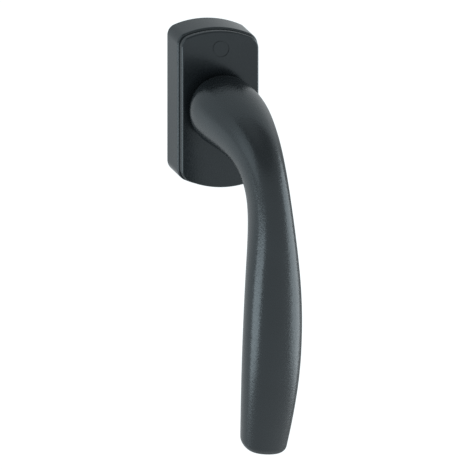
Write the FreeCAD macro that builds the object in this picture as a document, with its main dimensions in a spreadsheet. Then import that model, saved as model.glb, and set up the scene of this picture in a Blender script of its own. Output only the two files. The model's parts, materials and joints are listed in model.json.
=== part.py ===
import FreeCAD, Part
import os
import Sketcher
from math import asin, copysign, cos, pi, sin, sqrt
from FreeCAD import Placement, Rotation, Vector

# Window handle: a lever on an arched two-step rose, with its detent mechanism and fixings.
# Millimetres. The wall side is +Y, the room side is -Y, and the lever hangs towards -Z.
# The origin is on the spindle axis, in the plane that the rose stands on. A "reach" is a
# distance from that plane towards the room, and a "drop" is a distance below the axis.

SIZES = [
    # rose
    ("rose_height", 68.0, "over the two arched ends"),
    ("rose_width", 34.2, "over the straight sides"),
    ("rose_reach", 8.8, "wall side to the ledge that carries the cover"),
    ("end_radius", 36.5, "arch of the two ends"),
    ("corner_radius", 5.0, "between the arch and the straight sides"),
    ("rose_edge", 0.7, "rounding of the ledge"),
    ("cover_inset", 0.7, "ledge width, all round"),
    ("cover_thick", 2.2, "how far the cover stands proud of the ledge"),
    ("cover_edge", 0.8, "rounding of the cover"),
    ("mark_height", 26.0, "centre of the plain ring mark above the axis"),
    ("mark_radius", 3.6, "outer radius of the ring mark"),
    ("mark_line", 0.5, "line width of the ring mark"),
    ("mark_deep", 0.15, "depth of the ring mark"),
    # fixings
    ("screw_spacing", 43.0, "between the two fixing screws"),
    ("screw_radius", 2.5, "M5 thread"),
    ("shank_radius", 2.25, "plain shank between head and thread"),
    ("thread_gap", 0.6, "lug end to the start of the thread"),
    ("screw_play", 0.15, "radial, in every screw hole"),
    ("screw_out", 36.8, "screw end beyond the wall side"),
    ("screw_tip", 0.8, "lead-in at the screw end"),
    ("head_flare", 2.1, "countersunk head, beyond the screw's radius"),
    ("head_sunk", 0.6, "top of the head below the ledge plane"),
    ("head_play", 0.3, "radial, around the head"),
    ("recess_long", 5.0, "cross recess, end to end"),
    ("recess_wide", 1.1, "cross recess, arm width"),
    ("recess_deep", 1.6, "cross recess depth"),
    ("sleeve_radius", 5.0, "locating lug round each screw"),
    ("sleeve_out", 8.0, "lug beyond the wall side"),
    # base plate
    ("rim", 2.6, "rose wall left round the base plate"),
    ("plate_thick", 1.4, "base plate"),
    ("plate_play", 0.1, "round the base plate"),
    ("plate_clear", 1.5, "round the corners of the spindle"),
    ("rivet_radius", 1.2, "base plate rivets"),
    ("rivet_head", 1.9, "radius of the rivet head, set into the plate"),
    ("rivet_head_thick", 0.6, "rivet head"),
    ("rivet_bite", 3.6, "rivet length beyond the plate"),
    ("rivet_from_side", 7.8, "rivet axis inside the rose's side"),
    ("rivet_from_end", 7.5, "rivet axis below the top of the rose's arch"),
    # mechanism
    ("fit_play", 0.05, "radial, between still pieces and in the running fits"),
    ("bush_wall", 1.4, "collar that the lever turns in and the cover turns on"),
    ("flange_wide", 1.35, "bush flange, beyond the collar"),
    ("flange_play", 0.3, "flange to the wall of the round chamber"),
    ("flange_thick", 0.8, "bush flange"),
    ("bush_short", 0.4, "collar end below the cover face"),
    ("clip_wide", 1.4, "cover clip, ring width"),
    ("clip_thick", 0.7, "cover clip"),
    ("clip_gap", 2.0, "opening in the cover clip"),
    ("cover_play", 0.25, "radial, between the cover and the collar"),
    ("hub_radius", 10.5, "lever journal"),
    ("hub_step", 2.1, "journal to the spigot inside the chamber"),
    ("spigot_play", 0.3, "spigot end to the base plate"),
    ("washer_thick", 0.5, "thrust washer"),
    ("cam_thick", 1.6, "index cam"),
    ("cam_wall", 1.0, "index cam, spigot to the middle of a flat"),
    ("cam_corner", 3.0, "corner radius of the index cam"),
    ("shim_thick", 0.4, "shim behind the index cam"),
    ("ring_thick", 0.8, "retaining ring"),
    ("ring_land", 0.4, "spigot end to the ring groove"),
    ("groove_deep", 0.8, "ring groove"),
    ("ring_proud", 1.2, "retaining ring, beyond the spigot"),
    ("ring_gap", 3.0, "opening in the retaining ring"),
    ("spring_thick", 0.6, "detent leaf spring"),
    ("spring_play", 0.05, "leaf spring to the cam flat, and to its seat"),
    ("spring_end", 1.0, "leaf spring, beyond the round chamber"),
    # spindle
    ("spindle_square", 7.0, "across the flats"),
    ("spindle_out", 35.0, "spindle end beyond the wall side"),
    ("spindle_grip", 12.4, "spindle end inside the neck"),
    ("spindle_chamfer", 0.8, "both ends"),
    ("pin_radius", 1.5, "cross pin through hub and spindle"),
    ("pin_set", 2.5, "axis of the cross pin, from the journal's end"),
    # lever
    ("neck_gap", 1.6, "cover face to the underside of the neck"),
    ("root_edge", 2.4, "rounding under the neck"),
    ("lever_length", 126.9, "axis to the lower end of the centre line"),
    ("bow_radius", 272.0, "bow of the grip's centre line"),
    ("bow_drop", 57.0, "drop of the furthest point of the bow"),
    ("bow_reach", 54.6, "reach of the furthest point of the bow"),
    ("grip_start", 21.6, "drop where the straight grip begins"),
    ("tip_edge", 4.6, "rounding of the lower end"),
    ("neck_fullness", 2.0, "exponent of the neck ovals, 2 is an ellipse"),
    ("grip_fullness", 2.3, "exponent of the grip ovals"),
]

# Control sections of the neck, from the rose towards the grip: half width, depth towards the
# outside of the bend and towards its inside, and the reach and drop of the centre.
NECK_SECTIONS = [
    ("root", 13.8, 16.2, 15.0, None, 0.0),
    ("swell", 17.0, 13.9, 16.3, 15.7, -2.9),
    ("shoulder", 12.4, 12.6, 13.6, 33.1, -0.4),
    ("bend", 8.7, 9.9, 8.2, 45.3, 7.3),
]

# Control sections of the grip, evenly spaced on its bow: half width, front and back depth.
GRIP_SECTIONS = [
    ("top", 7.6, 9.3, 8.0),
    ("upper", 10.7, 8.2, 8.0),
    ("belly", 11.8, 8.2, 8.0),
    ("lower", 11.2, 7.8, 7.4),
    ("tip", 8.7, 6.2, 6.2),
]
OVAL_POLES = 16

doc = FreeCAD.newDocument("WindowHandle")
sheet = doc.addObject("Spreadsheet::Sheet", "Sizes")
row = 0


def cell(name, value, note):
    global row
    row += 1
    sheet.set(f"A{row}", name)
    sheet.set(f"B{row}", str(value))
    sheet.set(f"C{row}", note)
    sheet.setAlias(f"B{row}", name)


for name, value, note in SIZES:
    cell(name, value, note)
for name, half, outer, inner, *place in NECK_SECTIONS + GRIP_SECTIONS:
    cell(f"{name}_half", half, f"{name} section, half width")
    cell(f"{name}_outer", outer, f"{name} section, towards the outside of the bend")
    cell(f"{name}_inner", inner, f"{name} section, towards the inside of the bend")
    for kind, number in zip(("reach", "drop"), place):
        if number is not None:
            cell(f"{name}_{kind}", number, f"{name} section, {kind} of its centre")
doc.recompute()


def s(text):
    """Expression text with the sheet named before each alias, written as $alias."""
    return text.replace("$", "Sizes.")


COVER_FACE = "$rose_reach + $cover_thick"
SPIGOT_END = "($plate_thick + $spigot_play)"
RING_BACK = f"({SPIGOT_END} + $ring_land)"
SHIM_BACK = f"({RING_BACK} + $ring_thick)"
CAM_BACK = f"({SHIM_BACK} + $shim_thick)"
WASHER_BACK = f"({CAM_BACK} + $cam_thick)"
FLANGE_BACK = f"({WASHER_BACK} + $washer_thick)"
WEB_BACK = f"({FLANGE_BACK} + $flange_thick)"
NECK_ROOT = f"({COVER_FACE} + $neck_gap)"
SPINDLE_IN = f"({NECK_ROOT} + $spindle_grip)"
PIN_REACH = f"({FLANGE_BACK} + $pin_set)"
BUSH_BORE = "($hub_radius + $fit_play)"
BUSH_RADIUS = f"({BUSH_BORE} + $bush_wall)"
BUSH_FLANGE = f"({BUSH_RADIUS} + $flange_wide)"
CHAMBER = f"({BUSH_FLANGE} + $flange_play)"
CLIP_BORE = f"({BUSH_RADIUS} + $fit_play)"
CLIP_OUT = f"({CLIP_BORE} + $clip_wide)"
SPIGOT = "($hub_radius - $hub_step)"
GROOVE = f"({SPIGOT} - $groove_deep)"
RING_OUT = f"({SPIGOT} + $ring_proud)"
CAM_HALF = f"({SPIGOT} + $cam_wall)"
SPRING_SEAT = f"({CAM_HALF} + $spring_play)"
SPRING_HALF = f"({CHAMBER} + $spring_end)"
HOLE_RADIUS = "($screw_radius + $screw_play)"
HEAD_RADIUS = "($screw_radius + $head_flare)"
RIVET_LONG = "($plate_thick + $rivet_bite)"
RIVET_ACROSS = "($rose_width / 2 - $rivet_from_side)"
RIVET_UP = "($rose_height / 2 - $rivet_from_end)"

made = []


# ---- helpers ---------------------------------------------------------------------------------


def new_body(label):
    body = doc.addObject("PartDesign::Body", label + "_body")
    body.Label = label
    made.append(body)
    return body


def value(owner, text):
    return float(owner.evalExpression(s(text)))


def sketch_on(body, name, reach=None, role="XZ_Plane"):
    plane = next(f for f in body.Origin.OriginFeatures if f.Role == role)
    sketch = body.newObject("Sketcher::SketchObject", f"{body.Label}_{name}")
    sketch.AttachmentSupport = [(plane, "")]
    sketch.MapMode = "FlatFace"
    if reach:
        sketch.setExpression("AttachmentOffset.Base.z", s(reach))
    return sketch


def bind(sketch, parts, text):
    number = sketch.addConstraint(Sketcher.Constraint(*parts, value(sketch, text)))
    sketch.setExpression(f"Constraints[{number}]", s(text))


def place_point(sketch, geometry, point, across, up):
    for kind, text, axis in (("DistanceX", across, -2), ("DistanceY", up, -1)):
        if text:
            bind(sketch, (kind, -1, 1, geometry, point), text)
        else:
            sketch.addConstraint(Sketcher.Constraint("PointOnObject", geometry, point, axis))


def circle(sketch, radius, across=None, up=None):
    centre = Vector(value(sketch, across or "0"), value(sketch, up or "0"), 0)
    shape = Part.Circle(centre, Vector(0, 0, 1), value(sketch, radius))
    geometry = sketch.addGeometry(shape, False)
    bind(sketch, ("Radius", geometry), radius)
    place_point(sketch, geometry, 3, across, up)


def box(sketch, left, right, low, high):
    x0, x1, y0, y1 = (value(sketch, text) for text in (left, right, low, high))
    corners = [Vector(x0, y0, 0), Vector(x1, y0, 0), Vector(x1, y1, 0), Vector(x0, y1, 0)]
    first = len(sketch.Geometry)
    for number in range(4):
        sketch.addGeometry(Part.LineSegment(corners[number], corners[(number + 1) % 4]), False)
    for number in range(4):
        follower = first + (number + 1) % 4
        sketch.addConstraint(Sketcher.Constraint("Coincident", first + number, 2, follower, 1))
        kind = "Vertical" if number % 2 else "Horizontal"
        sketch.addConstraint(Sketcher.Constraint(kind, first + number))
    bind(sketch, ("DistanceX", -1, 1, first, 1), left)
    bind(sketch, ("DistanceY", -1, 1, first, 1), low)
    bind(sketch, ("DistanceX", -1, 1, first + 2, 1), right)
    bind(sketch, ("DistanceY", -1, 1, first + 2, 1), high)


def arc(centre, radius, start, end):
    return Part.ArcOfCircle(Part.Circle(centre, Vector(0, 0, 1), radius), start, end)


def tangent_loop(sketch, first, count):
    for number in range(count):
        follower = first + (number + 1) % count
        sketch.addConstraint(Sketcher.Constraint("Tangent", first + number, 2, follower, 1))


def arched_outline(sketch, inset):
    """Two straight sides, an arch at each end and a rounded corner between them."""
    side, top = f"$rose_width / 2 - {inset}", f"$rose_height / 2 - {inset}"
    arch, corner = f"$end_radius - {inset}", "$corner_radius"
    half, high, big, small = (value(sketch, text) for text in (side, top, arch, corner))
    corner_x = half - small
    corner_y = (high - big) + sqrt((big - small) ** 2 - corner_x**2)
    lean = asin(corner_x / (big - small))
    turn = pi / 2 - lean
    right = Part.LineSegment(Vector(half, -corner_y, 0), Vector(half, corner_y, 0))
    left = Part.LineSegment(Vector(-half, corner_y, 0), Vector(-half, -corner_y, 0))
    loop = [
        right,
        arc(Vector(corner_x, corner_y, 0), small, 0, turn),
        arc(Vector(0, high - big, 0), big, turn, pi - turn),
        arc(Vector(-corner_x, corner_y, 0), small, pi - turn, pi),
        left,
        arc(Vector(-corner_x, -corner_y, 0), small, pi, pi + turn),
        arc(Vector(0, big - high, 0), big, pi + turn, 2 * pi - turn),
        arc(Vector(corner_x, -corner_y, 0), small, 2 * pi - turn, 2 * pi),
    ]
    first = len(sketch.Geometry)
    for piece in loop:
        sketch.addGeometry(piece, False)
    tangent_loop(sketch, first, len(loop))
    sketch.addConstraint(Sketcher.Constraint("Vertical", first))
    bind(sketch, ("DistanceX", -1, 1, first, 1), side)
    bind(sketch, ("DistanceX", first + 4, 1, -1, 1), side)
    for geometry, sign in ((first + 2, ""), (first + 6, "-")):
        bind(sketch, ("Radius", geometry), arch)
        place_point(sketch, geometry, 3, None, f"{sign}({top} - ({arch}))")
    for geometry in (first + 1, first + 3, first + 5, first + 7):
        bind(sketch, ("Radius", geometry), corner)


def pad(body, sketch, length, both_ways=False):
    feature = body.newObject("PartDesign::Pad", sketch.Name + "_pad")
    feature.Profile = sketch
    feature.setExpression("Length", s(length))
    if both_ways:
        feature.SideType = "Symmetric"
    sketch.Visibility = False
    doc.recompute()
    return feature


def pocket(body, sketch, length, towards_room=False, both_ways=False):
    """Cuts from the sketch's plane towards the wall, unless told otherwise, and must cut."""
    before = body.Shape.Volume
    feature = body.newObject("PartDesign::Pocket", sketch.Name + "_cut")
    feature.Profile = sketch
    feature.setExpression("Length", s(length))
    feature.Reversed = towards_room
    if both_ways:
        feature.SideType = "Symmetric"
    doc.recompute()
    if not body.Shape.Volume < before:
        raise RuntimeError(f"{sketch.Name} cuts nothing")
    return feature


def dress(body, kind, size_name, size, wanted):
    """Fillet or Chamfer on the edges of the body's tip that the test accepts."""
    tip = body.Tip
    edges = tip.Shape.Edges
    names = [f"Edge{number + 1}" for number, edge in enumerate(edges) if wanted(edge)]
    if not names:
        raise RuntimeError(f"{body.Label} has no edge for {size}")
    feature = body.newObject(f"PartDesign::{kind}", f"{body.Label}_{kind}")
    feature.Base = (tip, names)
    feature.setExpression(size_name, s(size))
    doc.recompute()
    return feature


def edges_in_plane(reach, nearest=0.0, furthest=1e6):
    """Edges that lie in the plane at that reach, by their distance from the axis."""

    def wanted(edge):
        bounds = edge.BoundBox
        flat = abs(bounds.YMin + reach) < 1e-4 and abs(bounds.YMax + reach) < 1e-4
        middle = edge.valueAt((edge.FirstParameter + edge.LastParameter) / 2)
        return flat and nearest < (middle.x**2 + middle.z**2) ** 0.5 < furthest

    return wanted


def ring(label, back, thick, inner, outer, opening=None):
    """A flat ring round the axis, open at the bottom where an opening is given."""
    body = new_body(label)
    sketch = sketch_on(body, "outline", back)
    circle(sketch, outer)
    circle(sketch, inner)
    pad(body, sketch, thick)
    if opening:
        gap = sketch_on(body, "gap", f"{back} + {thick}")
        box(gap, f"-{opening} / 2", f"{opening} / 2", f"-({outer}) - 1", f"-({inner}) + 1")
        pocket(body, gap, thick)
    return body


# ---- rose ------------------------------------------------------------------------------------


def make_rose_body():
    body = new_body("rose_body")
    outline = sketch_on(body, "outline")
    arched_outline(outline, "0")
    pad(body, outline, "$rose_reach")
    reach = value(outline, "$rose_reach")
    dress(body, "Fillet", "Radius", "$rose_edge", edges_in_plane(reach))
    seat = sketch_on(body, "plate_seat")
    arched_outline(seat, "($rim - $plate_play)")
    pocket(body, seat, "$plate_thick", towards_room=True)
    chamber = sketch_on(body, "chamber", WEB_BACK)
    circle(chamber, CHAMBER)
    pocket(body, chamber, f"{WEB_BACK} - $plate_thick")
    slots = sketch_on(body, "spring_slots", WASHER_BACK)
    near, far = f"({SPRING_SEAT} - $spring_play / 2)", f"({SPRING_SEAT} + $spring_thick + $spring_play)"
    end = f"({SPRING_HALF} + $spring_play)"
    box(slots, near, far, f"-{end}", end)
    box(slots, f"-{far}", f"-{near}", f"-{end}", end)
    pocket(body, slots, f"{WASHER_BACK} - $plate_thick")
    bore = sketch_on(body, "bore", "$rose_reach")
    circle(bore, f"{BUSH_RADIUS} + $fit_play")
    pocket(body, bore, f"$rose_reach - {WEB_BACK}")
    holes = sketch_on(body, "screw_holes", "$rose_reach")
    for sign in ("", "-"):
        circle(holes, HOLE_RADIUS, None, f"{sign}$screw_spacing / 2")
    pocket(body, holes, "$rose_reach")
    seats = sketch_on(body, "head_seats", "$rose_reach")
    for sign in ("", "-"):
        circle(seats, f"{HEAD_RADIUS} + $head_play", None, f"{sign}$screw_spacing / 2")
    pocket(body, seats, "$head_sunk + $head_flare")
    rivets = sketch_on(body, "rivet_holes", "$plate_thick")
    rivet_circles(rivets, "$rivet_radius + $fit_play")
    pocket(body, rivets, "$rivet_bite + $fit_play", towards_room=True)
    return body


def rivet_circles(sketch, radius):
    for side in ("", "-"):
        for end in ("", "-"):
            circle(sketch, radius, f"{side}{RIVET_ACROSS}", f"{end}{RIVET_UP}")


def make_base_plate():
    body = new_body("base_plate")
    outline = sketch_on(body, "outline")
    arched_outline(outline, "$rim")
    circle(outline, "$spindle_square / sqrt(2) + $plate_clear")
    for sign in ("", "-"):
        circle(outline, HOLE_RADIUS, None, f"{sign}$screw_spacing / 2")
    rivet_circles(outline, "$rivet_radius + $fit_play")
    pad(body, outline, "$plate_thick")
    sinks = sketch_on(body, "rivet_sinks")
    rivet_circles(sinks, "$rivet_head + $fit_play")
    pocket(body, sinks, "$rivet_head_thick", towards_room=True)
    return body


def make_rivets():
    places = [("", "", "1"), ("-", "", "2"), ("", "-", "3"), ("-", "-", "4")]
    for side, end, number in places:
        body = new_body(f"plate_rivet_{number}")
        across, up = f"{side}{RIVET_ACROSS}", f"{end}{RIVET_UP}"
        shank = sketch_on(body, "shank")
        circle(shank, "$rivet_radius", across, up)
        pad(body, shank, RIVET_LONG)
        head = sketch_on(body, "head")
        circle(head, "$rivet_head", across, up)
        pad(body, head, "$rivet_head_thick")


def make_cover():
    body = new_body("cover_plate")
    outline = sketch_on(body, "outline", "$rose_reach")
    arched_outline(outline, "$cover_inset")
    pad(body, outline, "$cover_thick")
    face = value(outline, COVER_FACE)
    dress(body, "Fillet", "Radius", "$cover_edge", edges_in_plane(face))
    bore = sketch_on(body, "bore", COVER_FACE)
    circle(bore, f"{BUSH_RADIUS} + $cover_play")
    pocket(body, bore, "$cover_thick")
    seat = sketch_on(body, "clip_seat", "$rose_reach")
    circle(seat, f"{CLIP_OUT} + $cover_play")
    pocket(body, seat, "$clip_thick + $fit_play", towards_room=True)
    mark = sketch_on(body, "ring_mark", COVER_FACE)
    circle(mark, "$mark_radius", None, "$mark_height")
    circle(mark, "$mark_radius - $mark_line", None, "$mark_height")
    pocket(body, mark, "$mark_deep")
    return body


def make_bush():
    body = new_body("neck_bush")
    flange = sketch_on(body, "flange", FLANGE_BACK)
    circle(flange, BUSH_FLANGE)
    circle(flange, BUSH_BORE)
    pad(body, flange, "$flange_thick")
    collar = sketch_on(body, "collar", FLANGE_BACK)
    circle(collar, BUSH_RADIUS)
    circle(collar, BUSH_BORE)
    pad(body, collar, f"{COVER_FACE} - $bush_short - {FLANGE_BACK}")
    return body


# ---- detent mechanism ------------------------------------------------------------------------


def make_index_cam():
    body = new_body("index_cam")
    outline = sketch_on(body, "outline", CAM_BACK)
    box(outline, f"-{CAM_HALF}", CAM_HALF, f"-{CAM_HALF}", CAM_HALF)
    circle(outline, f"{SPIGOT} + $fit_play")
    pad(body, outline, "$cam_thick")

    def at_corner(edge):
        return len(edge.Vertexes) == 2 and edge.BoundBox.XLength + edge.BoundBox.ZLength < 1e-6

    dress(body, "Fillet", "Radius", "$cam_corner", at_corner)
    return body


def make_springs():
    for label, sign in (("detent_spring_right", 1), ("detent_spring_left", -1)):
        body = new_body(label)
        leaf = sketch_on(body, "leaf", CAM_BACK)
        near, far = SPRING_SEAT, f"({SPRING_SEAT} + $spring_thick)"
        sides = (near, far) if sign > 0 else (f"-{far}", f"-{near}")
        box(leaf, *sides, f"-{SPRING_HALF}", SPRING_HALF)
        pad(body, leaf, "$cam_thick")


def make_rings():
    on_spigot = f"{SPIGOT} + $fit_play"
    ring("thrust_washer", WASHER_BACK, "$washer_thick", on_spigot, BUSH_FLANGE)
    ring("cam_shim", SHIM_BACK, "$shim_thick", on_spigot, RING_OUT)
    ring("retaining_ring", RING_BACK, "$ring_thick", f"{GROOVE} + $fit_play", RING_OUT, "$ring_gap")
    ring("cover_clip", "$rose_reach", "$clip_thick", CLIP_BORE, CLIP_OUT, "$clip_gap")


# ---- fixings ---------------------------------------------------------------------------------


def solid_on_axis(kind, name, reach, up, sizes):
    """A Part primitive whose own axis runs from the given reach towards the room."""
    piece = doc.addObject(kind, name)
    piece.Placement = Placement(Vector(), Rotation(Vector(1, 0, 0), 90))
    piece.setExpression("Placement.Base.y", s(f"-({reach})"))
    piece.setExpression("Placement.Base.z", s(up))
    for key, text in sizes.items():
        piece.setExpression(key, s(text))
    return piece


def make_screw(end, sign):
    label = f"fixing_screw_{end}"
    up = f"{sign}$screw_spacing / 2"
    top = "($rose_reach - $head_sunk)"
    start = "($sleeve_out + $thread_gap)"
    size = {"Radius": "$screw_radius", "Height": f"$screw_out - $screw_tip - {start}"}
    thread = solid_on_axis("Part::Cylinder", label + "_thread", "$screw_tip - $screw_out", up, size)
    size = {"Radius": "$shank_radius", "Height": f"{top} + {start}"}
    shank = solid_on_axis("Part::Cylinder", label + "_shank", f"-{start}", up, size)
    lead = {"Radius1": "$screw_radius - $screw_tip", "Radius2": "$screw_radius"}
    lead["Height"] = "$screw_tip"
    tip = solid_on_axis("Part::Cone", label + "_tip", "-$screw_out", up, lead)
    taper = {"Radius1": "$screw_radius", "Radius2": HEAD_RADIUS}
    taper["Height"] = "$head_flare"
    head = solid_on_axis("Part::Cone", label + "_head", f"{top} - $head_flare", up, taper)
    whole = doc.addObject("Part::MultiFuse", label + "_whole")
    whole.Shapes = [thread, shank, tip, head]
    arms = []
    for number, (wide, tall) in enumerate((("long", "wide"), ("wide", "long"))):
        arm = doc.addObject("Part::Box", f"{label}_arm_{number}")
        arm.setExpression("Length", s(f"$recess_{wide}"))
        arm.setExpression("Height", s(f"$recess_{tall}"))
        arm.setExpression("Width", s("$recess_deep * 2"))
        arm.setExpression("Placement.Base.x", s(f"-$recess_{wide} / 2"))
        arm.setExpression("Placement.Base.y", s(f"-{top} - $recess_deep"))
        arm.setExpression("Placement.Base.z", s(f"{up} - $recess_{tall} / 2"))
        arms.append(arm)
    cross = doc.addObject("Part::MultiFuse", label + "_cross")
    cross.Shapes = arms
    screw = doc.addObject("Part::Cut", label)
    screw.Base, screw.Tool = whole, cross
    screw.Label = label
    made.append(screw)


def make_sleeve(end, sign):
    label = f"locating_sleeve_{end}"
    up = f"{sign}$screw_spacing / 2"
    size = {"Radius": "$sleeve_radius", "Height": "$sleeve_out"}
    tube = solid_on_axis("Part::Cylinder", label + "_tube", "-$sleeve_out", up, size)
    size = {"Radius": HOLE_RADIUS, "Height": "$sleeve_out"}
    hole = solid_on_axis("Part::Cylinder", label + "_hole", "-$sleeve_out", up, size)
    sleeve = doc.addObject("Part::Cut", label)
    sleeve.Base, sleeve.Tool = tube, hole
    sleeve.Label = label
    made.append(sleeve)


# ---- lever and spindle -----------------------------------------------------------------------


def section_centres():
    """Reach and drop of each control section: the neck ones as given, the grip ones on the bow."""
    centres = [(value(sheet, NECK_ROOT), sheet.root_drop)]
    for name, *_ in NECK_SECTIONS[1:]:
        centres.append((sheet.get(f"{name}_reach"), sheet.get(f"{name}_drop")))
    step = (sheet.lever_length - sheet.grip_start) / (len(GRIP_SECTIONS) - 1)
    for number in range(len(GRIP_SECTIONS)):
        drop = sheet.grip_start + number * step
        fall = sqrt(sheet.bow_radius**2 - (drop - sheet.bow_drop) ** 2)
        centres.append((sheet.bow_reach - sheet.bow_radius + fall, drop))
    return [Vector(0, -reach, -drop) for reach, drop in centres]


def section_poles(name, centre, along, fullness):
    """Poles round one oval that stands across the given direction."""
    outward = along.cross(Vector(1, 0, 0))
    half, outer, inner = (sheet.get(f"{name}_{part}") for part in ("half", "outer", "inner"))
    spread = 6 / (4 + 2 * cos(2 * pi / OVAL_POLES))
    poles = []
    for number in range(OVAL_POLES):
        angle = 2 * pi * number / OVAL_POLES
        across = copysign(abs(cos(angle)) ** (2 / fullness), cos(angle)) * half
        depth = outer if sin(angle) >= 0 else inner
        out = copysign(abs(sin(angle)) ** (2 / fullness), sin(angle)) * depth
        poles.append(centre + (Vector(1, 0, 0) * across + outward * out) * spread)
    return poles


def lever_skin():
    """Neck and grip as one smooth surface, closed by a flat face at each end."""
    names = [name for name, *_ in NECK_SECTIONS + GRIP_SECTIONS]
    centres = section_centres()
    rows = []
    for number, (name, centre) in enumerate(zip(names, centres)):
        along = centres[min(number + 1, len(names) - 1)] - centres[max(number - 1, 0)]
        if number == 0:
            along = Vector(0, -1, 0)
        along.normalize()
        in_neck = number < len(NECK_SECTIONS) - 1
        fullness = sheet.neck_fullness if in_neck else sheet.grip_fullness
        rows.append(section_poles(name, centre, along, fullness))
    spans = len(names) - 3
    skin = Part.BSplineSurface()
    skin.buildFromPolesMultsKnots(
        [list(column) for column in zip(*rows)],
        [1] * (OVAL_POLES + 1), [4] + [1] * (spans - 1) + [4],
        list(range(OVAL_POLES + 1)), list(range(spans + 1)), True, False, 3, 3)
    faces = [skin.toShape()]
    for end in (0, spans):
        faces.append(Part.Face(Part.Wire([skin.vIso(end).toShape()])))
    shell = Part.makeShell(faces)
    shell.sewShape()
    solid = Part.makeSolid(shell)
    if solid.Volume < 0:
        solid.reverse()
    feature = doc.addObject("Part::Feature", "lever_skin")
    feature.Shape = solid
    return feature, centres[-1]


def make_lever():
    body = new_body("lever")
    skin, end = lever_skin()
    body.BaseFeature = skin
    doc.recompute()
    root = value(body, NECK_ROOT)
    dress(body, "Fillet", "Radius", "$root_edge", edges_in_plane(root))

    def at_end(edge):
        return edge.isClosed() and edge.CenterOfMass.distanceToPoint(end) < sheet.tip_inner

    dress(body, "Fillet", "Radius", "$tip_edge", at_end)
    journal = sketch_on(body, "journal", FLANGE_BACK)
    circle(journal, "$hub_radius")
    pad(body, journal, f"{NECK_ROOT} + $root_edge - {FLANGE_BACK}")
    spigot = sketch_on(body, "spigot", SPIGOT_END)
    circle(spigot, SPIGOT)
    pad(body, spigot, f"{NECK_ROOT} - {SPIGOT_END}")
    groove = sketch_on(body, "ring_groove", SHIM_BACK)
    circle(groove, "$hub_radius")
    circle(groove, GROOVE)
    pocket(body, groove, "$ring_thick")
    socket = sketch_on(body, "socket", SPIGOT_END)
    half = "$spindle_square / 2 + $fit_play"
    box(socket, f"-({half})", half, f"-({half})", half)
    pocket(body, socket, f"{SPINDLE_IN} + $fit_play - {SPIGOT_END}", towards_room=True)
    hole = sketch_on(body, "pin_hole", role="YZ_Plane")
    circle(hole, "$pin_radius + $fit_play", f"-{PIN_REACH}")
    pocket(body, hole, "$hub_radius * 2.1", both_ways=True)
    return body


def make_spindle():
    body = new_body("spindle")
    square = sketch_on(body, "square", "-$spindle_out")
    half = "$spindle_square / 2"
    box(square, f"-{half}", half, f"-{half}", half)
    pad(body, square, f"$spindle_out + {SPINDLE_IN}")
    ends = [value(square, text) for text in ("-$spindle_out", SPINDLE_IN)]
    tests = [edges_in_plane(reach) for reach in ends]
    dress(body, "Chamfer", "Size", "$spindle_chamfer", lambda edge: any(t(edge) for t in tests))
    hole = sketch_on(body, "pin_hole", role="YZ_Plane")
    circle(hole, "$pin_radius + $fit_play", f"-{PIN_REACH}")
    pocket(body, hole, "$spindle_square * 1.5", both_ways=True)
    return body


def make_pin():
    body = new_body("spindle_pin")
    sketch = sketch_on(body, "outline", role="YZ_Plane")
    circle(sketch, "$pin_radius", f"-{PIN_REACH}")
    pad(body, sketch, "($hub_radius - $fit_play * 6) * 2", both_ways=True)
    return body


make_rose_body()
make_base_plate()
make_rivets()
make_cover()
make_bush()
make_index_cam()
make_springs()
make_rings()
for end, sign in (("upper", ""), ("lower", "-")):
    make_screw(end, sign)
    make_sleeve(end, sign)
make_lever()
make_spindle()
make_pin()
doc.recompute()

for item in doc.Objects:
    if {"Invalid", "Error"} & set(item.State):
        raise RuntimeError(f"{item.Label} failed: {item.State}")
os.makedirs("parts", exist_ok=True)
for item in made:
    if item.Shape.isNull() or not item.Shape.isValid() or len(item.Shape.Solids) != 1:
        raise RuntimeError(f"{item.Label} is not one valid solid")
for item in made:
    item.Shape.exportStep(f"parts/{item.Label}.step")
    bounds = item.Shape.BoundBox
    print(f"{item.Label:24s} {item.Shape.Volume:9.1f} mm3  "
          f"x {bounds.XMin:7.2f} {bounds.XMax:7.2f}  y {bounds.YMin:7.2f} {bounds.YMax:7.2f}  "
          f"z {bounds.ZMin:7.2f} {bounds.ZMax:7.2f}")
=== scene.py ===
import json
from math import cos, pi, radians, sin

import bpy
from mathutils import Matrix, Vector


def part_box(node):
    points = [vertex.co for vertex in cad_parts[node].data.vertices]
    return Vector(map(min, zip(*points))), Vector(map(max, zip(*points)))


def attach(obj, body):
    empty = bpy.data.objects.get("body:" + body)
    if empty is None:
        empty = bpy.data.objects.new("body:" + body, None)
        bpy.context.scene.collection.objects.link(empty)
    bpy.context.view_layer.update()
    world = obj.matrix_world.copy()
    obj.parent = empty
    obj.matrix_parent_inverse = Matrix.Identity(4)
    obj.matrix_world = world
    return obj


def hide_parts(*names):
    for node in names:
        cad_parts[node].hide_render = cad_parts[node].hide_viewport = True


# A window handle on a pale wall. Metres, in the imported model's frame: +Z up, -Y into the room.

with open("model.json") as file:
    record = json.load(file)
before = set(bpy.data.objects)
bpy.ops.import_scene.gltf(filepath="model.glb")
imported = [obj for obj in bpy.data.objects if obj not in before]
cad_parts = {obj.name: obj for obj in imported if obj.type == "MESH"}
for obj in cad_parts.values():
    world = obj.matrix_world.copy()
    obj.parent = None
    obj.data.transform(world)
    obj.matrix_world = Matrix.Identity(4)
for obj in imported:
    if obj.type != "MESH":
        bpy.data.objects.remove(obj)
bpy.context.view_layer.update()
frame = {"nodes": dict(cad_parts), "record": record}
NODES = frame["nodes"]

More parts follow.
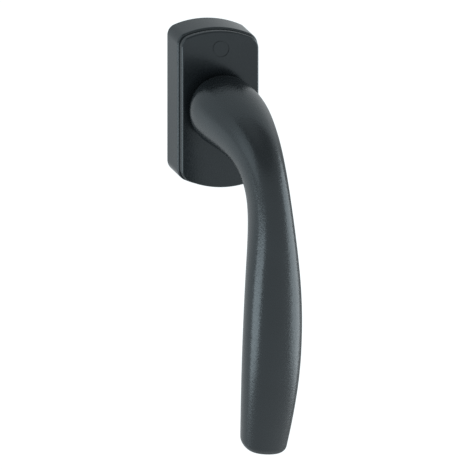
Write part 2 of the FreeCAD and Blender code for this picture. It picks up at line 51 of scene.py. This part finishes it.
# View
COVER_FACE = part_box("cover_plate")[0][1]
CENTRE_ACROSS, CENTRE_UP = 0.0061, -0.0533   # middle of the picture
VIEW_ACROSS = 0.514                          # sideways run of the view per unit of depth
VIEW_UP = 0.491                              # upward run of the view per unit of depth
FRAME_TALL = 0.200                           # height of the picture, at the cover's face
CAMERA_AWAY = 8.0                            # far enough for a nearly parallel view
SENSOR = 36.0

# Wall: half its side, how far it stands off the middle, and its glow
WALL_HALF, WALL_SHIFT = 0.5, 0.006
WALL_WHITE, WALL_TINT = 1.1, (0.95, 1.0, 1.02, 1)   # as looked at
WALL_GLOW = 0.88                                    # light that it throws on the handle
RIGHT_GLOW = -0.5, -0.02                            # added on the right, low down and high up
RIGHT_ACROSS, RIGHT_UP = (-0.04, 0.04), (-0.015, 0.02)
POOL_GLOW, POOL_BELOW = 0.4, 0.018                  # added in the pool of light on the left
POOL_ACROSS, POOL_FADE = (-0.055, -0.02), (0.012, 0.04)

# Lights: where they aim, how far off they stand, and each panel's name, direction, size and power
LIGHT_AIM = (0, -0.03, -0.05)
PANEL_AWAY, PANEL_TINT = 0.8, (0.93, 1.0, 1.03)
PANELS = [
    ("right_panel", (0.95, -0.15, -0.16), (1.0, 0.8), 6.0),
    ("left_panel", (-0.93, -0.08, -0.42), (1.05, 0.42), 4.5),
    ("left_upper_panel", (-0.88, 0.02, 0.55), (0.9, 0.75), 1.9),
]

# Sky: height of the direction, and the level there
SKY = [(0.0, 0.75), (0.45, 0.7), (0.68, 0.3), (0.85, 0.3), (1.0, 0.6)]
SKY_TINT = (0.97, 0.99)                      # red and green beside blue

# Fixing screws
CREST, ROOT, SHANK, PITCH = 0.0025, 0.00205, 0.00225, 0.0008
HEAD_ACROSS, HEAD_RIM, HEAD_DEEP = 0.0046, 0.0003, 0.0024
HEAD_FOOT = 1e-7                             # keeps the foot of the cone a sharp edge
THREAD_FROM, THREAD_STEP, ROUND = 0.0168, 0.0001, 32
RIDGE_STEEP, RIDGE_CUT = 1.7, 0.35           # flanks of the thread, and the flat at its root
TIP_KEPT = 0.4                               # of a pitch, kept by the pointed tip
CROSS_LONG, CROSS_WIDE, CROSS_DEEP = 0.005, 0.0011, 0.0016
CROSS_TOP, CROSS_FOOT = 1.08, 0.62           # width of the punch above the face and at its foot
CREASE = radians(35)


# ---- materials ---------------------------------------------------------------------------------


NOISE_RANGE = 0.3, 0.7                       # where most of a noise's values lie


class Nodes:
    """A material's node tree with short calls for the nodes that repeat."""

    def __init__(self, name):
        self.material = bpy.data.materials.new(name)
        self.material.use_nodes = True
        self.tree = self.material.node_tree
        self.shader = self.tree.nodes["Principled BSDF"]
        self.place = self.tree.nodes.new("ShaderNodeTexCoord").outputs["Object"]

    def link(self, source, target):
        self.tree.links.new(source, target)

    def stretched(self, scale):
        mapping = self.tree.nodes.new("ShaderNodeMapping")
        mapping.inputs["Scale"].default_value = scale
        self.link(self.place, mapping.inputs["Vector"])
        return mapping.outputs["Vector"]

    def noise(self, scale, detail=2.0, vector=None):
        node = self.tree.nodes.new("ShaderNodeTexNoise")
        node.inputs["Scale"].default_value = scale
        node.inputs["Detail"].default_value = detail
        self.link(vector or self.place, node.inputs["Vector"])
        return node.outputs["Fac"]

    def ramp(self, source, low, high):
        node = self.tree.nodes.new("ShaderNodeValToRGB")
        for stop, position, colour in zip(node.color_ramp.elements, NOISE_RANGE, (low, high)):
            stop.position = position
            stop.color = (*colour, 1)
        self.link(source, node.inputs["Fac"])
        return node.outputs["Color"]

    def spread(self, source, low, high):
        node = self.tree.nodes.new("ShaderNodeMapRange")
        node.inputs["From Min"].default_value = NOISE_RANGE[0]
        node.inputs["From Max"].default_value = NOISE_RANGE[1]
        node.inputs["To Min"].default_value = low
        node.inputs["To Max"].default_value = high
        self.link(source, node.inputs["Value"])
        return node.outputs["Result"]

    def bump(self, heights):
        """Bump nodes in a row: each height is (source, strength, depth in metres)."""
        normal = None
        for source, strength, depth in heights:
            node = self.tree.nodes.new("ShaderNodeBump")
            node.inputs["Strength"].default_value = strength
            node.inputs["Distance"].default_value = depth
            self.link(source, node.inputs["Height"])
            if normal:
                self.link(normal, node.inputs["Normal"])
            normal = node.outputs["Normal"]
        self.link(normal, self.shader.inputs["Normal"])


def tinted(colour, factor):
    return tuple(part * factor for part in colour)


def satin_coat(name, colour, rough, grain, gloss_and_shade=1.0):
    """Dark satin finish: fine pearl grain, faint clouding, slightly uneven gloss."""
    nodes = Nodes(name)
    clouds = nodes.noise(60.0, 3.0)
    nodes.link(nodes.ramp(clouds, tinted(colour, 0.9), tinted(colour, 1.1)),
               nodes.shader.inputs["Base Color"])
    nodes.shader.inputs["Metallic"].default_value = 0.0
    nodes.shader.inputs["IOR"].default_value = 1.56
    # gloss_and_shade scales the coat's reflection: below 1 it is partly a duller gloss and partly
    # painted shade on a part that lies in another's shadow.
    nodes.shader.inputs["Specular Tint"].default_value = (*tinted(COAT_TINT, gloss_and_shade), 1)
    pearl = nodes.noise(1300.0, 2.0)
    nodes.link(nodes.spread(pearl, rough - 0.05, rough + 0.06), nodes.shader.inputs["Roughness"])
    nodes.bump([(nodes.noise(420.0, 2.0), 0.12, 0.00004), (pearl, grain, 0.00015)])
    return nodes.material


def plated(name, colour, rough, brushed=(1, 1, 1)):
    """Plated or bare metal: clouded colour, fine drawn lines and small pits."""
    nodes = Nodes(name)
    clouds = nodes.noise(180.0, 4.0)
    nodes.link(nodes.ramp(clouds, tinted(colour, 0.78), tinted(colour, 1.08)),
               nodes.shader.inputs["Base Color"])
    nodes.shader.inputs["Metallic"].default_value = 1.0
    lines = nodes.noise(900.0, 3.0, nodes.stretched(brushed))
    nodes.link(nodes.spread(lines, rough - 0.08, rough + 0.12), nodes.shader.inputs["Roughness"])
    nodes.bump([(lines, 0.25, 0.00003), (nodes.noise(1500.0, 2.0), 0.15, 0.00002)])
    return nodes.material


def moulded(name, colour, rough):
    """Moulded plastic with a fine spark-eroded texture."""
    nodes = Nodes(name)
    nodes.link(nodes.ramp(nodes.noise(90.0), tinted(colour, 0.85), tinted(colour, 1.2)),
               nodes.shader.inputs["Base Color"])
    texture = nodes.noise(1800.0, 3.0)
    nodes.link(nodes.spread(texture, rough - 0.08, rough + 0.08), nodes.shader.inputs["Roughness"])
    nodes.bump([(texture, 0.35, 0.00004)])
    return nodes.material


ANTHRACITE = (0.0100, 0.0130, 0.0150)
COAT_TINT = (0.86, 0.98, 1.04)
MATERIALS = {
    "lever_satin": satin_coat("lever_satin_coat", ANTHRACITE, 0.25, 0.35),
    # The cover's reflection is scaled to 0.88 of the lever's: partly a duller finish, partly painted
    # shade for the lever's shadow and occlusion on the cover's face.
    "cover_cast": satin_coat("cover_satin_coat", ANTHRACITE, 0.2, 0.1, 0.88),
    "rose_cast": satin_coat("rose_satin_coat", ANTHRACITE, 0.21, 0.1),
    "black_acetal": moulded("acetal", (0.012, 0.012, 0.013), 0.5),
    "zinc_plated_steel": plated("zinc_plate", (0.62, 0.63, 0.64), 0.32, (1, 1, 0.15)),
    "bright_screw": plated("screw_plate", (0.66, 0.65, 0.62), 0.25),
    "sleeve_steel": plated("sleeve_plate", (0.55, 0.55, 0.56), 0.4, (1, 0.1, 1)),
    "spring_steel": plated("blued_steel", (0.16, 0.155, 0.17), 0.3, (1, 1, 0.1)),
    "hard_steel": plated("ground_steel", (0.42, 0.42, 0.43), 0.28, (0.1, 1, 1)),
    "rivet_aluminium": plated("rivet_metal", (0.78, 0.78, 0.79), 0.3),
}


def give_materials():
    slots = {part["node"]: part["material_slot"] for part in frame["record"]["subparts"]}
    for name, piece in NODES.items():
        piece.data.materials.clear()
        piece.data.materials.append(MATERIALS[slots[name]])


# ---- fixing screws -----------------------------------------------------------------------------


def mesh_object(name, points, faces, material=None):
    mesh = bpy.data.meshes.new(name)
    mesh.from_pydata(points, [], faces)
    mesh.shade_smooth()
    mesh.set_sharp_from_angle(angle=CREASE)
    if material:
        mesh.materials.append(material)
    piece = bpy.data.objects.new(name, mesh)
    bpy.context.scene.collection.objects.link(piece)
    return piece


def screw_radius(depth, turn, long):
    """Radius at a depth below the head face, at an angle given in turns."""
    if depth < HEAD_DEEP:
        return HEAD_ACROSS - max(0.0, depth - HEAD_RIM) * (HEAD_ACROSS - SHANK) / (HEAD_DEEP - HEAD_RIM)
    ridge = abs((depth / PITCH - turn) % 1.0 * 2 - 1) * RIDGE_STEEP - RIDGE_CUT
    thread = ROOT + (CREST - ROOT) * min(1.0, max(0.0, ridge))
    grown = min(1.0, max(0.0, (depth - THREAD_FROM) / PITCH))
    return min(SHANK + (thread - SHANK) * grown, ROOT - PITCH + (long - depth) + PITCH * TIP_KEPT)


def cross_cutter(centre, face):
    """A cross-shaped punch whose arms narrow towards the bottom of the recess."""
    far, near = CROSS_LONG / 2, CROSS_WIDE / 2
    corner = [(far, near), (near, near), (near, far)]
    outline = corner[:]
    for turn in range(1, 4):
        for x, z in corner:
            for _ in range(turn):
                x, z = -z, x
            outline.append((x, z))
    points, count = [], len(outline)
    for depth, size in ((-CROSS_DEEP / 2, CROSS_TOP), (CROSS_DEEP, CROSS_FOOT)):
        points += [(x * size, face + depth, centre + z * size) for x, z in outline]
    faces = [tuple(range(count)), tuple(range(2 * count - 1, count - 1, -1))]
    faces += [(k, k + count, (k + 1) % count + count, (k + 1) % count) for k in range(count)]
    return mesh_object("cross_punch", points, faces)


def make_screw(node):
    """Countersunk screw with a cross recess and a helical thread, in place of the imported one."""
    low, high = (Vector(corner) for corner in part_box(node))
    centre, long = (low.z + high.z) / 2, high.y - low.y
    depths = [0.0, HEAD_RIM, HEAD_DEEP - HEAD_FOOT, HEAD_DEEP, THREAD_FROM]
    steps = int((long - THREAD_FROM) / THREAD_STEP)
    depths += [THREAD_FROM + (long - THREAD_FROM) * (k + 1) / steps for k in range(steps)]
    points = []
    for depth in depths:
        for k in range(ROUND):
            radius = screw_radius(depth, k / ROUND, long)
            angle = 2 * pi * k / ROUND
            points.append((radius * cos(angle), low.y + depth, centre + radius * sin(angle)))
    faces = [tuple(range(ROUND)), tuple(range(len(points) - 1, len(points) - ROUND - 1, -1))]
    for ring in range(len(depths) - 1):
        for k in range(ROUND):
            a, b = ring * ROUND + k, ring * ROUND + (k + 1) % ROUND
            faces.append((a, a + ROUND, b + ROUND, b))
    screw = mesh_object(node + "_cut", points, faces, MATERIALS["bright_screw"])
    punch = cross_cutter(centre, low.y)
    cut = screw.modifiers.new("recess", "BOOLEAN")
    cut.operation, cut.solver, cut.object = "DIFFERENCE", "EXACT", punch
    bpy.context.view_layer.update()
    shape = screw.evaluated_get(bpy.context.evaluated_depsgraph_get())
    screw.data = bpy.data.meshes.new_from_object(shape)
    screw.modifiers.clear()
    bpy.data.objects.remove(punch)
    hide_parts(node)
    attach(screw, "rose")


# ---- surroundings ------------------------------------------------------------------------------


def wall_material():
    """A backdrop that is plain white to look at, seen only from the room side. On the handle it
    shows as an uneven glow: a pool of light to the left, brighter at the upper right than at the
    lower right."""
    material = bpy.data.materials.new("wall_white")
    material.use_nodes = True
    tree = material.node_tree
    tree.nodes.clear()

    def add(kind, *sources, **settings):
        node = tree.nodes.new(kind)
        for key, value in settings.items():
            setattr(node, key, value)
        for number, source in enumerate(sources):
            if isinstance(source, bpy.types.NodeSocket):
                tree.links.new(source, node.inputs[number])
            elif source is not None:
                node.inputs[number].default_value = source
        return node

    def fade(source, start, end, low, high):
        node = add("ShaderNodeMapRange", source, start, end, low, high, interpolation_type="SMOOTHSTEP")
        return node.outputs["Result"]

    def sums(operation, *sources):
        return add("ShaderNodeMath", *sources, operation=operation).outputs["Value"]

    place = add("ShaderNodeTexCoord").outputs["Object"]
    split = add("ShaderNodeSeparateXYZ", place)
    across, up = split.outputs["X"], split.outputs["Z"]
    right_share = fade(across, *RIGHT_ACROSS, 0.0, 1.0)
    right = sums("MULTIPLY", right_share, fade(up, *RIGHT_UP, *RIGHT_GLOW))
    off_pool = sums("ABSOLUTE", sums("ADD", up, POOL_BELOW))
    pool_glow = fade(across, *POOL_ACROSS, POOL_GLOW, 0.0)
    pool = sums("MULTIPLY", pool_glow, fade(off_pool, *POOL_FADE, 1.0, 0.0))
    level = sums("ADD", sums("ADD", right, WALL_GLOW), pool)
    looked_at = add("ShaderNodeLightPath").outputs["Is Camera Ray"]
    seen = add("ShaderNodeMix", looked_at, None, level, WALL_WHITE, data_type="FLOAT")
    glow = add("ShaderNodeEmission", WALL_TINT, seen.outputs["Result"]).outputs["Emission"]
    clear = add("ShaderNodeBsdfTransparent").outputs["BSDF"]
    behind = add("ShaderNodeNewGeometry").outputs["Backfacing"]
    shown = add("ShaderNodeMixShader", behind, glow, clear).outputs["Shader"]
    add("ShaderNodeOutputMaterial", shown)
    return material


def make_wall():
    middle = Vector((CENTRE_ACROSS - WALL_SHIFT, 0, CENTRE_UP + WALL_SHIFT))
    corners = [(-WALL_HALF, -WALL_HALF), (WALL_HALF, -WALL_HALF), (WALL_HALF, WALL_HALF),
               (-WALL_HALF, WALL_HALF)]
    mesh = bpy.data.meshes.new("wall")
    mesh.from_pydata([(middle.x + x, 0.0, middle.z + z) for x, z in corners], [], [(0, 1, 2, 3)])
    mesh.materials.append(wall_material())
    wall = bpy.data.objects.new("wall", mesh)
    bpy.context.scene.collection.objects.link(wall)


def area_light(name, direction, size, power):
    """A soft panel that stands in the given direction from the handle and faces it."""
    light = bpy.data.lights.new(name, "AREA")
    light.shape = "RECTANGLE"
    light.size, light.size_y = size
    light.energy = power
    light.color = PANEL_TINT
    panel = bpy.data.objects.new(name, light)
    bpy.context.scene.collection.objects.link(panel)
    way = Vector(direction).normalized()
    panel.location = Vector(LIGHT_AIM) + way * PANEL_AWAY
    panel.rotation_mode = "QUATERNION"
    panel.rotation_quaternion = way.to_track_quat("Z", "Y")


def make_lights():
    make_world()
    for panel in PANELS:
        area_light(*panel)


def make_world():
    """Pale below and at eye level, darker above, and paler again overhead."""
    world = bpy.data.worlds.new("studio")
    world.use_nodes = True
    tree = world.node_tree
    place = tree.nodes.new("ShaderNodeTexCoord")
    split = tree.nodes.new("ShaderNodeSeparateXYZ")
    ramp = tree.nodes.new("ShaderNodeValToRGB")
    tree.links.new(place.outputs["Generated"], split.inputs["Vector"])
    tree.links.new(split.outputs["Z"], ramp.inputs["Fac"])
    for position, _ in SKY[1:-1]:
        ramp.color_ramp.elements.new(position)
    for stop, (_, level) in zip(ramp.color_ramp.elements, SKY):
        stop.color = (level * SKY_TINT[0], level * SKY_TINT[1], level, 1)
    tree.links.new(ramp.outputs["Color"], tree.nodes["Background"].inputs["Color"])
    bpy.context.scene.world = world


# ---- camera ------------------------------------------------------------------------------------


def make_camera():
    """A shift camera: the picture stays parallel to the wall while the view comes in from the
    upper left, so the rose keeps its upright outline and its depth runs down to the right."""
    data = bpy.data.cameras.new("camera")
    data.sensor_width = SENSOR
    back = Vector((-VIEW_ACROSS, -1, VIEW_UP)).normalized()
    data.lens = SENSOR * CAMERA_AWAY / FRAME_TALL
    camera = bpy.data.objects.new("camera", data)
    rig = bpy.data.objects.new("camera_rig", None)
    for item in (camera, rig):
        bpy.context.scene.collection.objects.link(item)
    aim = Vector((CENTRE_ACROSS, COVER_FACE, CENTRE_UP))
    lean = Matrix(((1, 0, back.x, 0), (0, 0, back.y, 0), (0, 1, back.z, 0), (0, 0, 0, 1)))
    camera.parent = rig
    camera.matrix_parent_inverse = Matrix.Translation(aim + back * CAMERA_AWAY) @ lean
    bpy.context.scene.camera = camera


give_materials()
for end in ("upper", "lower"):
    make_screw(f"fixing_screw_{end}")
make_wall()
make_lights()
make_camera()
bpy.context.scene.view_settings.view_transform = "Standard"
